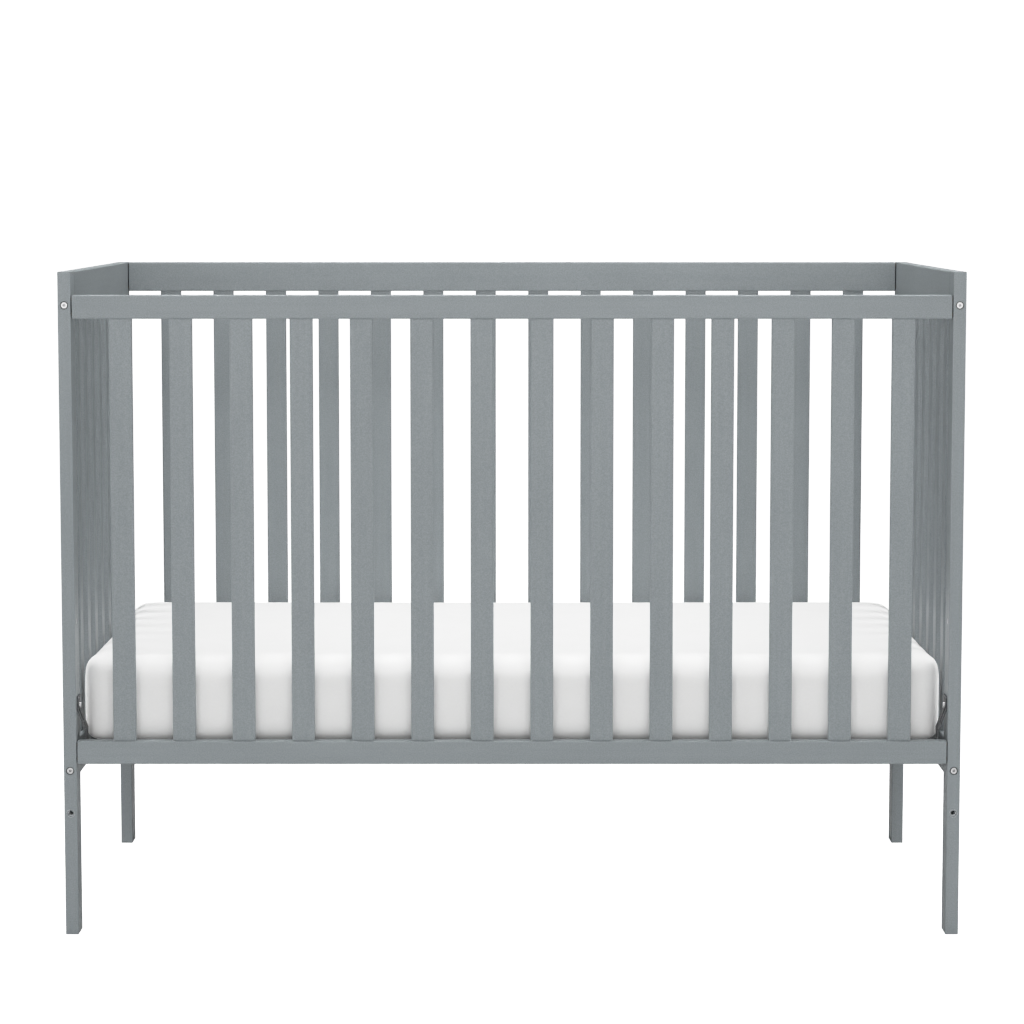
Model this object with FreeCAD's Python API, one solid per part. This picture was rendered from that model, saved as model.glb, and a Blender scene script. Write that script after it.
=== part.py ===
import FreeCAD, Part
import math
import os

# A baby crib: two slatted long panels with their own legs, two slatted end panels bolted
# between the legs, a steel mattress support hung on four bolts, and a mattress.
# Millimetres. The origin is on the floor, midway between the legs. +X is along the length,
# +Y from the front to the back, +Z up.

# ---- frame sizes -------------------------------------------------------------------------
INSIDE_LENGTH = 1330.0      # clear length between the end panels
INSIDE_DEPTH = 712.0        # clear depth between the long panels
HEIGHT = 1015.0             # floor to the top of the legs
POST_WIDE = 20.0            # a leg along X
POST_DEEP = 45.0            # a leg along Y
RAIL_THICK = 20.0           # every wooden rail
POST_ROUND = 1.5            # rounding of a leg's long edges
RAIL_ROUND = 2.5            # rounding of a rail's long edges
END_ROUND = 0.8             # rounding of the cut ends of legs and rails
PANEL_GAP = 1.5             # shadow gap between a long rail's end and the leg

FRONT_TOP_DROP = 35.0       # top of the front top rail below the top of the legs
FRONT_TOP_TALL = 36.0
BACK_TOP_TALL = 50.0
LONG_BOTTOM_Z = 264.5       # underside of both long bottom rails
LONG_BOTTOM_TALL = 36.0
END_TOP_TALL = 60.0
END_BOTTOM_Z = 243.5        # underside of both end bottom rails
END_BOTTOM_TALL = 57.0

# ---- slats -------------------------------------------------------------------------------
LONG_SLATS = 14             # in each long panel
END_SLATS = 7               # in each end panel
SLAT_WIDE = 35.0
SLAT_THICK = 12.0
SLAT_ROUND = 3.0
MORTISE_DEEP = 12.0
MORTISE_FIT = 0.1           # clearance around a slat in its mortise

# ---- wooden dowels -----------------------------------------------------------------------
RAIL_DOWEL_R = 3.0          # pairs of dowels that hold a long rail to a leg
RAIL_DOWEL_IN_POST = 13.0
RAIL_DOWEL_IN_RAIL = 26.0
RAIL_DOWEL_MARGIN = 7.0     # dowel axis from the rail's upper and lower faces
END_DOWEL_R = 4.0           # one dowel beside each frame bolt
END_DOWEL_IN_POST = 20.0
END_DOWEL_IN_RAIL = 20.0
END_DOWEL_RISE = 25.0       # dowel axis above the bolt axis
DOWEL_FIT = 0.05
DOWEL_ROOM = 1.0            # spare depth at each end of a dowel

# ---- frame bolts and barrel nuts ---------------------------------------------------------
TOP_BOLT_RISE = 9.5         # bolt axis above the underside of an end top rail
BOTTOM_BOLT_RISE = 10.8     # bolt axis above the underside of an end bottom rail
BOLT_R = 3.0
BOLT_HEAD_R = 4.9
BOLT_HEAD_TALL = 2.2
BOLT_HEAD_ROUND = 0.55
BOLT_HEAD_SUNK = 0.4        # head face below the leg's face
BOLT_SOCKET_FLATS = 4.0
BOLT_SOCKET_DEEP = 1.8
BOLT_PAST_NUT = 3.0         # bolt end beyond the barrel nut
BOLT_HOLE_R = 3.25
HEAD_RECESS_R = 6.3
NUT_R = 5.0
NUT_LONG = 15.0
NUT_INSET = 25.0            # nut axis from the rail's end
NUT_FIT = 0.1
NUT_SLOT_WIDE = 1.2
NUT_SLOT_DEEP = 1.2
THREAD_FIT = 0.05           # threads are plain, with this clearance

# ---- threaded inserts --------------------------------------------------------------------
LEG_INSERT_Z = 188.4        # accessory inserts, in the front legs only
LEG_INSERT_R = 6.0
LEG_INSERT_LONG = 20.0
LEG_INSERT_SUNK = 0.6
LEG_INSERT_BORE_R = 3.4
LEG_INSERT_FLATS = 8.0
LEG_INSERT_SOCKET_DEEP = 5.0
HANGER_INSERT_R = 5.0       # inserts that take the support's bolts
HANGER_INSERT_LONG = 12.0
HANGER_INSERT_SUNK = 0.4
INSERT_FIT = 0.05

# ---- mattress support --------------------------------------------------------------------
LOW_HANGER_Z = 352.5        # bolt axis at the low mattress height
HANGER_STEP = 129.5         # from the low height to the high one
HANGER_BOLT_R = 3.0
HANGER_HEAD_R = 4.8
HANGER_HEAD_TALL = 2.8
HANGER_HEAD_ROUND = 1.8
RUN_GAP = 0.3               # clearance between pieces that move past each other
STRAP_THICK = 2.0
STRAP_ABOVE_BOLT = 15.0
STRAP_BELOW_BOLT = 6.5      # flat stretch below the bolt, before the bend
STRAP_SLOPE_TALL = 30.0     # height of the sloping stretch
STRAP_SLOPE_IN = 10.7       # how far the slope brings the strap inwards
STRAP_BEFORE_BOLT = 11.0    # strap edge in front of the bolt axis
STRAP_EDGE_INSET = 1.0      # strap edge inside the leg's rear edge
STRAP_TO_RAIL = 2.0         # lower stretch of the strap to the long rail's inner face
STRAP_ROUND = 3.0           # its upper corners
STRAP_PEEP_R = 2.0          # locating hole above the bolt
STRAP_PEEP_RISE = 9.6
KEY_ROOM = 0.8              # clearance of the bolt head in the wide part of the keyhole
KEY_LIP = 6.6               # metal between the keyhole and the lower bend
SUPPORT_DROP = 59.0         # top of the support below the bolt axis
ANGLE_LEG = 25.0
ANGLE_THICK = 2.5
SUPPORT_TO_LONG_RAIL = 6.0  # steel frame to the inner faces of the long rails
WIRE_R = 2.0
WIRE_LAP_GAP = 0.05
LONG_WIRES = 6
CROSS_WIRES = 13
RIVET_R = 3.0
RIVET_HEAD_R = 4.6
RIVET_HEAD_TALL = 1.6
RIVET_HEAD_ROUND = 1.3
RIVET_FIT = 0.05
RIVET_INSET = 10.0          # rivet axis from the outer face of the long angle

# ---- mattress ----------------------------------------------------------------------------
MATTRESS_END_GAP = 6.0      # to each end panel
MATTRESS_SIDE_GAP = 7.0     # to each long rail
MATTRESS_THICK = 133.0
MATTRESS_CORNER_R = 45.0
MATTRESS_EDGE_R = 28.0

# ---- worked out from the sizes above -----------------------------------------------------
INNER_X = INSIDE_LENGTH / 2
OUTER_X = INNER_X + POST_WIDE
POST_X = INNER_X + POST_WIDE / 2
INNER_Y = INSIDE_DEPTH / 2
OUTER_Y = INNER_Y + RAIL_THICK
POST_INNER_Y = OUTER_Y - POST_DEEP
RAIL_Y = INNER_Y + RAIL_THICK / 2
HANGER_Y = OUTER_Y - POST_DEEP / 2
FRONT_TOP_Z = HEIGHT - FRONT_TOP_DROP - FRONT_TOP_TALL
BACK_TOP_Z = HEIGHT - BACK_TOP_TALL
END_TOP_Z = HEIGHT - END_TOP_TALL
TOP_BOLT_Z = END_TOP_Z + TOP_BOLT_RISE
BOTTOM_BOLT_Z = END_BOTTOM_Z + BOTTOM_BOLT_RISE
BOLT_LENGTH = POST_DEEP - BOLT_HEAD_SUNK - BOLT_HEAD_TALL + NUT_INSET + NUT_R + BOLT_PAST_NUT
STRAP_X = INNER_X - RUN_GAP
SUPPORT_X = STRAP_X - STRAP_SLOPE_IN - STRAP_THICK
SUPPORT_Y = INNER_Y - SUPPORT_TO_LONG_RAIL
SUPPORT_TOP = LOW_HANGER_Z - SUPPORT_DROP
SUPPORT_LOW = SUPPORT_TOP - ANGLE_LEG

X_AXIS = FreeCAD.Vector(1, 0, 0)
Y_AXIS = FreeCAD.Vector(0, 1, 0)
Z_AXIS = FreeCAD.Vector(0, 0, 1)
ORIGIN = FreeCAD.Vector(0, 0, 0)


# ---- plain shapes ------------------------------------------------------------------------
def block(low, high):
    """A box between two corners."""
    size = [b - a for a, b in zip(low, high)]
    return Part.makeBox(size[0], size[1], size[2], FreeCAD.Vector(*low))


def rod(start, direction, length, radius):
    """A cylinder from a point, along a direction."""
    return Part.makeCylinder(radius, length, FreeCAD.Vector(*start), direction)


def hexagon(start, direction, length, flats):
    """A hexagonal prism with the given distance across its flats."""
    corner_r = flats / math.sqrt(3)
    turns = [math.radians(60 * i) for i in range(7)]
    points = [FreeCAD.Vector(corner_r * math.cos(t), corner_r * math.sin(t), 0) for t in turns]
    prism = Part.Face(Part.makePolygon(points)).extrude(Z_AXIS * length)
    turn = FreeCAD.Rotation(Z_AXIS, direction)
    prism.Placement = FreeCAD.Placement(FreeCAD.Vector(*start), turn)
    return prism


def rounded_outline(wide, tall, radius):
    """A closed rectangle about the origin in the XY plane, with round corners."""
    x = wide / 2
    y = tall / 2
    far_x = x - radius
    far_y = y - radius
    diagonal = radius * math.sqrt(0.5)
    edges = []
    corners = [(1, -1, -90), (1, 1, 0), (-1, 1, 90), (-1, -1, 180)]
    for side_x, side_y, start in corners:
        centre = FreeCAD.Vector(side_x * far_x, side_y * far_y, 0)
        first = math.radians(start)
        last = math.radians(start + 90)
        begin = centre + FreeCAD.Vector(math.cos(first), math.sin(first), 0) * radius
        end = centre + FreeCAD.Vector(math.cos(last), math.sin(last), 0) * radius
        middle = centre + FreeCAD.Vector(side_x * diagonal, side_y * diagonal, 0)
        edges.append((begin, middle, end))
    parts = []
    for i, (begin, middle, end) in enumerate(edges):
        parts.append(Part.Arc(begin, middle, end).toShape())
        parts.append(Part.LineSegment(end, edges[(i + 1) % 4][0]).toShape())
    return Part.Wire(parts)


def soft_bar(low, high, axis, long_round, end_round=0.0):
    """A straight bar between two corners, along axis 0, 1 or 2, with rounded edges."""
    size = [b - a for a, b in zip(low, high)]
    middle = [(a + b) / 2 for a, b in zip(low, high)]
    if axis == 0:
        wide, tall = size[1], size[2]
        turn = FreeCAD.Rotation(Y_AXIS, Z_AXIS, X_AXIS, "ZXY")
    elif axis == 1:
        wide, tall = size[2], size[0]
        turn = FreeCAD.Rotation(Z_AXIS, X_AXIS, Y_AXIS, "ZXY")
    else:
        wide, tall = size[0], size[1]
        turn = FreeCAD.Rotation(X_AXIS, Y_AXIS, Z_AXIS, "ZXY")
    face = Part.Face(rounded_outline(wide, tall, long_round))
    bar = face.extrude(Z_AXIS * size[axis])
    if end_round > 0:
        length = size[axis]
        rims = [e for e in bar.Edges if e.BoundBox.ZLength < 1e-6 * length]
        bar = bar.makeFillet(end_round, rims)
    start = list(middle)
    start[axis] = low[axis]
    bar.Placement = FreeCAD.Placement(FreeCAD.Vector(*start), turn)
    return bar


def mirrored(shape, side_x, side_y):
    """A copy of a shape drawn for the corner at +X, +Y, moved to another corner."""
    copy = shape
    if side_x < 0:
        copy = copy.mirror(ORIGIN, X_AXIS)
    if side_y < 0:
        copy = copy.mirror(ORIGIN, Y_AXIS)
    return copy


def slat_places(count, clear):
    """Middle of each slat, evenly spaced in a clear width with equal gaps."""
    gap = (clear - count * SLAT_WIDE) / (count + 1)
    return [-clear / 2 + gap + SLAT_WIDE / 2 + i * (gap + SLAT_WIDE) for i in range(count)]


def save(name, shapes):
    """Write one node: a solid, or several separate ones."""
    solids = shapes if isinstance(shapes, list) else [shapes]
    shape = solids[0] if len(solids) == 1 else Part.makeCompound(solids)
    shape.exportStep("parts/" + name + ".step")


# ---- legs --------------------------------------------------------------------------------
def rail_dowel_heights(low, tall):
    """The two dowel axes in the end of a long rail."""
    return [low + RAIL_DOWEL_MARGIN, low + tall - RAIL_DOWEL_MARGIN]


def post(top_low, top_tall, with_leg_insert):
    """The leg at +X, +Y, with the holes for its long rails, bolts, dowels and inserts."""
    leg = soft_bar((INNER_X, POST_INNER_Y, 0), (OUTER_X, OUTER_Y, HEIGHT), 2, POST_ROUND, END_ROUND)
    holes = []
    dowel_depth = RAIL_DOWEL_IN_POST + DOWEL_ROOM
    heights = rail_dowel_heights(top_low, top_tall)
    heights += rail_dowel_heights(LONG_BOTTOM_Z, LONG_BOTTOM_TALL)
    for z in heights:
        holes.append(rod((INNER_X, RAIL_Y, z), X_AXIS, dowel_depth, RAIL_DOWEL_R + DOWEL_FIT))
    recess = BOLT_HEAD_SUNK + BOLT_HEAD_TALL
    for z in (TOP_BOLT_Z, BOTTOM_BOLT_Z):
        holes.append(rod((POST_X, POST_INNER_Y, z), Y_AXIS, POST_DEEP, BOLT_HOLE_R))
        holes.append(rod((POST_X, OUTER_Y - recess, z), Y_AXIS, recess, HEAD_RECESS_R))
        end_dowel = END_DOWEL_IN_POST + DOWEL_ROOM
        up = z + END_DOWEL_RISE
        holes.append(rod((POST_X, POST_INNER_Y, up), Y_AXIS, end_dowel, END_DOWEL_R + DOWEL_FIT))
    insert_depth = HANGER_INSERT_SUNK + HANGER_INSERT_LONG
    for z in (LOW_HANGER_Z, LOW_HANGER_Z + HANGER_STEP):
        start = (INNER_X, HANGER_Y, z)
        holes.append(rod(start, X_AXIS, insert_depth, HANGER_INSERT_R + INSERT_FIT))
    if with_leg_insert:
        depth = LEG_INSERT_SUNK + LEG_INSERT_LONG
        start = (POST_X, OUTER_Y - depth, LEG_INSERT_Z)
        holes.append(rod(start, Y_AXIS, depth, LEG_INSERT_R + INSERT_FIT))
    return leg.cut(holes)


def make_posts():
    front = post(FRONT_TOP_Z, FRONT_TOP_TALL, True)
    back = post(BACK_TOP_Z, BACK_TOP_TALL, False)
    save("front_left_post", mirrored(front, -1, -1))
    save("front_right_post", mirrored(front, 1, -1))
    save("back_left_post", mirrored(back, -1, 1))
    save("back_right_post", mirrored(back, 1, 1))


# ---- long panels -------------------------------------------------------------------------
def long_rail(low, tall, slats_go_up):
    """A long rail on the +Y side, with its slat mortises and dowel holes."""
    end_x = INNER_X - PANEL_GAP
    high = low + tall
    rail = soft_bar((-end_x, INNER_Y, low), (end_x, OUTER_Y, high), 0, RAIL_ROUND, END_ROUND)
    mortise_low = high - MORTISE_DEEP if slats_go_up else low
    cuts = []
    for x in slat_places(LONG_SLATS, INSIDE_LENGTH):
        half_x = SLAT_WIDE / 2 + MORTISE_FIT
        half_y = SLAT_THICK / 2 + MORTISE_FIT
        low_corner = (x - half_x, RAIL_Y - half_y, mortise_low)
        high_corner = (x + half_x, RAIL_Y + half_y, mortise_low + MORTISE_DEEP)
        cuts.append(soft_bar(low_corner, high_corner, 2, SLAT_ROUND + MORTISE_FIT))
    depth = RAIL_DOWEL_IN_RAIL - PANEL_GAP + DOWEL_ROOM
    for z in rail_dowel_heights(low, tall):
        cuts.append(rod((end_x, RAIL_Y, z), -X_AXIS, depth, RAIL_DOWEL_R + DOWEL_FIT))
        cuts.append(rod((-end_x, RAIL_Y, z), X_AXIS, depth, RAIL_DOWEL_R + DOWEL_FIT))
    return rail.cut(cuts)


def make_long_panel(name, side_y, top_low, top_tall):
    save(name + "_top_rail", mirrored(long_rail(top_low, top_tall, False), 1, side_y))
    low_rail = long_rail(LONG_BOTTOM_Z, LONG_BOTTOM_TALL, True)
    save(name + "_bottom_rail", mirrored(low_rail, 1, side_y))
    slat_low = LONG_BOTTOM_Z + LONG_BOTTOM_TALL - MORTISE_DEEP
    slat_high = top_low + MORTISE_DEEP
    for i, x in enumerate(slat_places(LONG_SLATS, INSIDE_LENGTH)):
        low = (x - SLAT_WIDE / 2, RAIL_Y - SLAT_THICK / 2, slat_low)
        high = (x + SLAT_WIDE / 2, RAIL_Y + SLAT_THICK / 2, slat_high)
        slat = soft_bar(low, high, 2, SLAT_ROUND)
        save("%s_slat_%02d" % (name, i + 1), mirrored(slat, 1, side_y))


def make_rail_dowels():
    length = RAIL_DOWEL_IN_RAIL + RAIL_DOWEL_IN_POST
    fronts = rail_dowel_heights(FRONT_TOP_Z, FRONT_TOP_TALL)
    backs = rail_dowel_heights(BACK_TOP_Z, BACK_TOP_TALL)
    lows = rail_dowel_heights(LONG_BOTTOM_Z, LONG_BOTTOM_TALL)
    dowels = []
    for side_y, heights in ((-1, fronts + lows), (1, backs + lows)):
        for side_x in (-1, 1):
            for z in heights:
                start = (INNER_X - RAIL_DOWEL_IN_RAIL, RAIL_Y, z)
                dowels.append(mirrored(rod(start, X_AXIS, length, RAIL_DOWEL_R), side_x, side_y))
    save("rail_dowels", dowels)


# ---- end panels --------------------------------------------------------------------------
def end_rail(low, tall, bolt_rise, slats_go_up):
    """An end rail at +X, from leg to leg, with its mortises, bolt, nut and dowel holes."""
    high = low + tall
    near = (INNER_X, -POST_INNER_Y, low)
    far = (OUTER_X, POST_INNER_Y, high)
    rail = soft_bar(near, far, 1, RAIL_ROUND)
    mortise_low = high - MORTISE_DEEP if slats_go_up else low
    cuts = []
    for y in slat_places(END_SLATS, 2 * POST_INNER_Y):
        half_x = SLAT_THICK / 2 + MORTISE_FIT
        half_y = SLAT_WIDE / 2 + MORTISE_FIT
        low_corner = (POST_X - half_x, y - half_y, mortise_low)
        high_corner = (POST_X + half_x, y + half_y, mortise_low + MORTISE_DEEP)
        cuts.append(soft_bar(low_corner, high_corner, 2, SLAT_ROUND + MORTISE_FIT))
    bolt_depth = NUT_INSET + NUT_R + BOLT_PAST_NUT + DOWEL_ROOM
    dowel_depth = END_DOWEL_IN_RAIL + DOWEL_ROOM
    bolt_z = low + bolt_rise
    for side in (-1, 1):
        inwards = Y_AXIS * -side
        end_y = side * POST_INNER_Y
        cuts.append(rod((POST_X, end_y, bolt_z), inwards, bolt_depth, BOLT_HOLE_R))
        nut_y = side * (POST_INNER_Y - NUT_INSET)
        nut_top = bolt_rise + NUT_LONG / 2
        cuts.append(rod((POST_X, nut_y, low), Z_AXIS, nut_top, NUT_R + NUT_FIT))
        dowel_start = (POST_X, end_y, bolt_z + END_DOWEL_RISE)
        cuts.append(rod(dowel_start, inwards, dowel_depth, END_DOWEL_R + DOWEL_FIT))
    return rail.cut(cuts)


def make_end_panel(name, side_x):
    top = end_rail(END_TOP_Z, END_TOP_TALL, TOP_BOLT_RISE, False)
    bottom = end_rail(END_BOTTOM_Z, END_BOTTOM_TALL, BOTTOM_BOLT_RISE, True)
    save(name + "_top_rail", mirrored(top, side_x, 1))
    save(name + "_bottom_rail", mirrored(bottom, side_x, 1))
    slat_low = END_BOTTOM_Z + END_BOTTOM_TALL - MORTISE_DEEP
    slat_high = END_TOP_Z + MORTISE_DEEP
    slats = []
    for y in slat_places(END_SLATS, 2 * POST_INNER_Y):
        low = (POST_X - SLAT_THICK / 2, y - SLAT_WIDE / 2, slat_low)
        high = (POST_X + SLAT_THICK / 2, y + SLAT_WIDE / 2, slat_high)
        slats.append(mirrored(soft_bar(low, high, 2, SLAT_ROUND), side_x, 1))
    save(name + "_end_slats", slats)


# ---- frame fasteners ---------------------------------------------------------------------
def frame_bolt(z):
    """A flat-headed bolt through the leg at +X, +Y, with a hexagon socket."""
    head_y = OUTER_Y - BOLT_HEAD_SUNK - BOLT_HEAD_TALL
    head = rod((POST_X, head_y, z), Y_AXIS, BOLT_HEAD_TALL, BOLT_HEAD_R)
    rim = [e for e in head.Edges if e.BoundBox.YMin > OUTER_Y - BOLT_HEAD_SUNK - 1e-3]
    head = head.makeFillet(BOLT_HEAD_ROUND, rim)
    shank = rod((POST_X, head_y, z), -Y_AXIS, BOLT_LENGTH, BOLT_R)
    mouth = (POST_X, OUTER_Y - BOLT_HEAD_SUNK - BOLT_SOCKET_DEEP, z)
    socket = hexagon(mouth, Y_AXIS, BOLT_SOCKET_DEEP, BOLT_SOCKET_FLATS)
    return head.fuse(shank).cut(socket)


def barrel_nut(z):
    """A cross-drilled barrel nut, set upright from the underside of an end rail."""
    nut_y = POST_INNER_Y - NUT_INSET
    low = z - NUT_LONG / 2
    nut = rod((POST_X, nut_y, low), Z_AXIS, NUT_LONG, NUT_R)
    bore = rod((POST_X, nut_y - NUT_R, z), Y_AXIS, 2 * NUT_R, BOLT_R + THREAD_FIT)
    half_slot = NUT_SLOT_WIDE / 2
    slot_low = (POST_X - half_slot, nut_y - NUT_R, low)
    slot_high = (POST_X + half_slot, nut_y + NUT_R, low + NUT_SLOT_DEEP)
    return nut.cut([bore, block(slot_low, slot_high)])


def end_dowel(z):
    """A dowel across the joint between the leg at +X, +Y and an end rail."""
    start = (POST_X, POST_INNER_Y - END_DOWEL_IN_RAIL, z + END_DOWEL_RISE)
    return rod(start, Y_AXIS, END_DOWEL_IN_RAIL + END_DOWEL_IN_POST, END_DOWEL_R)


def make_frame_fasteners():
    for name, piece in (("frame_bolts", frame_bolt), ("barrel_nuts", barrel_nut),
                        ("end_rail_dowels", end_dowel)):
        copies = []
        for z in (TOP_BOLT_Z, BOTTOM_BOLT_Z):
            for side_x in (-1, 1):
                for side_y in (-1, 1):
                    copies.append(mirrored(piece(z), side_x, side_y))
        save(name, copies)


# ---- inserts and the support's bolts -----------------------------------------------------
def leg_insert():
    """A threaded insert in a leg's outer face, with a hexagon socket at its mouth."""
    mouth_y = OUTER_Y - LEG_INSERT_SUNK
    start = (POST_X, mouth_y - LEG_INSERT_LONG, LEG_INSERT_Z)
    body = rod(start, Y_AXIS, LEG_INSERT_LONG, LEG_INSERT_R)
    bore = rod(start, Y_AXIS, LEG_INSERT_LONG, LEG_INSERT_BORE_R)
    socket_start = (POST_X, mouth_y - LEG_INSERT_SOCKET_DEEP, LEG_INSERT_Z)
    socket = hexagon(socket_start, Y_AXIS, LEG_INSERT_SOCKET_DEEP, LEG_INSERT_FLATS)
    return body.cut([bore, socket])


def hanger_insert(z):
    """A threaded insert in a leg's inner side face, for a support bolt."""
    start = (INNER_X + HANGER_INSERT_SUNK, HANGER_Y, z)
    body = rod(start, X_AXIS, HANGER_INSERT_LONG, HANGER_INSERT_R)
    return body.cut(rod(start, X_AXIS, HANGER_INSERT_LONG, HANGER_BOLT_R + THREAD_FIT))


def hanger_bolt():
    """A button-headed bolt that the support hangs on, at +X, +Y."""
    seat_x = STRAP_X - STRAP_THICK - RUN_GAP
    head_x = seat_x - HANGER_HEAD_TALL
    head = rod((head_x, HANGER_Y, LOW_HANGER_Z), X_AXIS, HANGER_HEAD_TALL, HANGER_HEAD_R)
    rim = [e for e in head.Edges if e.BoundBox.XMax < head_x + 1e-3]
    head = head.makeFillet(HANGER_HEAD_ROUND, rim)
    shank_end = INNER_X + HANGER_INSERT_SUNK + HANGER_INSERT_LONG
    shank = rod((seat_x, HANGER_Y, LOW_HANGER_Z), X_AXIS, shank_end - seat_x, HANGER_BOLT_R)
    mouth = (head_x, HANGER_Y, LOW_HANGER_Z)
    socket = hexagon(mouth, X_AXIS, BOLT_SOCKET_DEEP, BOLT_SOCKET_FLATS)
    return head.fuse(shank).cut(socket)


def make_inserts():
    save("leg_inserts", [mirrored(leg_insert(), side_x, -1) for side_x in (-1, 1)])
    corners = [(side_x, side_y) for side_x in (-1, 1) for side_y in (-1, 1)]
    inserts = []
    for z in (LOW_HANGER_Z, LOW_HANGER_Z + HANGER_STEP):
        inserts += [mirrored(hanger_insert(z), *corner) for corner in corners]
    save("hanger_inserts", inserts)
    save("hanger_bolts", [mirrored(hanger_bolt(), *corner) for corner in corners])


# ---- mattress support --------------------------------------------------------------------
def strap_keyhole():
    """Cutters for the keyhole: a narrow seat for the shank over a wide stretch for the head."""
    bend_top = LOW_HANGER_Z - STRAP_BELOW_BOLT
    bend_low = bend_top - STRAP_SLOPE_TALL
    far_x = STRAP_X - STRAP_SLOPE_IN - 2 * STRAP_THICK
    reach = STRAP_X + STRAP_THICK - far_x
    seat_r = HANGER_BOLT_R + RUN_GAP
    key_r = HANGER_HEAD_R + KEY_ROOM
    key_low = bend_low + KEY_LIP + key_r
    seat_top = rod((far_x, HANGER_Y, LOW_HANGER_Z), X_AXIS, reach, seat_r)
    seat = block((far_x, HANGER_Y - seat_r, key_low),
                 (far_x + reach, HANGER_Y + seat_r, LOW_HANGER_Z))
    key_end = rod((far_x, HANGER_Y, key_low), X_AXIS, reach, key_r)
    key = block((far_x, HANGER_Y - key_r, key_low),
                (far_x + reach, HANGER_Y + key_r, bend_top))
    return [seat_top, seat, key_end, key]


def hanger_strap():
    """The bent steel strap at +X, +Y: flat on the leg, sloping inwards, then flat on the
    support's end angle. Its keyhole lets it lift over the bolt head."""
    bend_top = LOW_HANGER_Z - STRAP_BELOW_BOLT
    bend_low = bend_top - STRAP_SLOPE_TALL
    top = LOW_HANGER_Z + STRAP_ABOVE_BOLT
    low_x = STRAP_X - STRAP_SLOPE_IN
    outer = [(STRAP_X, top), (STRAP_X, bend_top), (low_x, bend_low), (low_x, SUPPORT_LOW)]
    inner = [(x - STRAP_THICK, z) for x, z in reversed(outer)]
    front_y = HANGER_Y + STRAP_BEFORE_BOLT
    rear_y = POST_INNER_Y + STRAP_EDGE_INSET
    points = [FreeCAD.Vector(x, rear_y, z) for x, z in outer + inner + outer[:1]]
    strap = Part.Face(Part.makePolygon(points)).extrude(Y_AXIS * (front_y - rear_y))
    corners = [e for e in strap.Edges if e.BoundBox.ZMin > top - 1e-3 and e.BoundBox.YLength < 1e-3]
    strap = strap.makeFillet(STRAP_ROUND, corners)
    inside_x = low_x - 2 * STRAP_THICK
    notch = block((inside_x, INNER_Y - STRAP_TO_RAIL, SUPPORT_LOW), (STRAP_X, front_y, bend_low))
    peep = rod((inside_x, HANGER_Y, LOW_HANGER_Z + STRAP_PEEP_RISE), X_AXIS,
               STRAP_X + STRAP_THICK - inside_x, STRAP_PEEP_R)
    cuts = [notch, peep] + strap_keyhole()
    for z in rivet_heights():
        start = (inside_x, rivet_y(), z)
        cuts.append(rod(start, X_AXIS, low_x + STRAP_THICK - inside_x, RIVET_R + RIVET_FIT))
    return strap.cut(cuts)


def rivet_y():
    return SUPPORT_Y - RIVET_INSET


def rivet_heights():
    """The two rivets that hold a strap to an end angle."""
    low = SUPPORT_LOW + ANGLE_THICK + RIVET_HEAD_R
    return [low, SUPPORT_TOP - RIVET_HEAD_R - WIRE_R]


def rivet(z):
    """A round-headed rivet through a strap and an end angle."""
    out_x = SUPPORT_X + STRAP_THICK
    in_x = SUPPORT_X - ANGLE_THICK
    shank = rod((in_x, rivet_y(), z), X_AXIS, out_x - in_x, RIVET_R)
    outer = rod((out_x, rivet_y(), z), X_AXIS, RIVET_HEAD_TALL, RIVET_HEAD_R)
    inner = rod((in_x, rivet_y(), z), -X_AXIS, RIVET_HEAD_TALL, RIVET_HEAD_R)
    far_x = out_x + RIVET_HEAD_TALL
    near_x = in_x - RIVET_HEAD_TALL
    outer_rim = [e for e in outer.Edges if e.BoundBox.XMin > far_x - 1e-3]
    inner_rim = [e for e in inner.Edges if e.BoundBox.XMax < near_x + 1e-3]
    outer = outer.makeFillet(RIVET_HEAD_ROUND, outer_rim)
    inner = inner.makeFillet(RIVET_HEAD_ROUND, inner_rim)
    return shank.fuse([outer, inner])


def long_angle():
    """The steel angle along the +Y side of the support, its flange turned inwards."""
    wall = block((-SUPPORT_X, SUPPORT_Y - ANGLE_THICK, SUPPORT_LOW),
                 (SUPPORT_X, SUPPORT_Y, SUPPORT_TOP))
    flange = block((-SUPPORT_X, SUPPORT_Y - ANGLE_LEG, SUPPORT_LOW),
                   (SUPPORT_X, SUPPORT_Y, SUPPORT_LOW + ANGLE_THICK))
    return wall.fuse(flange).removeSplitter()


def end_angle():
    """The steel angle across the +X end, coped to fit between the long angles."""
    wall_y = SUPPORT_Y - ANGLE_THICK
    flange_y = SUPPORT_Y - ANGLE_LEG
    wall = block((SUPPORT_X - ANGLE_THICK, -wall_y, SUPPORT_LOW + ANGLE_THICK),
                 (SUPPORT_X, wall_y, SUPPORT_TOP))
    flange = block((SUPPORT_X - ANGLE_LEG, -flange_y, SUPPORT_LOW),
                   (SUPPORT_X, flange_y, SUPPORT_LOW + ANGLE_THICK))
    angle = wall.fuse(flange).removeSplitter()
    holes = []
    for side in (-1, 1):
        for z in rivet_heights():
            start = (SUPPORT_X - ANGLE_THICK, side * rivet_y(), z)
            holes.append(rod(start, X_AXIS, ANGLE_THICK, RIVET_R + RIVET_FIT))
    return angle.cut(holes)


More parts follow.
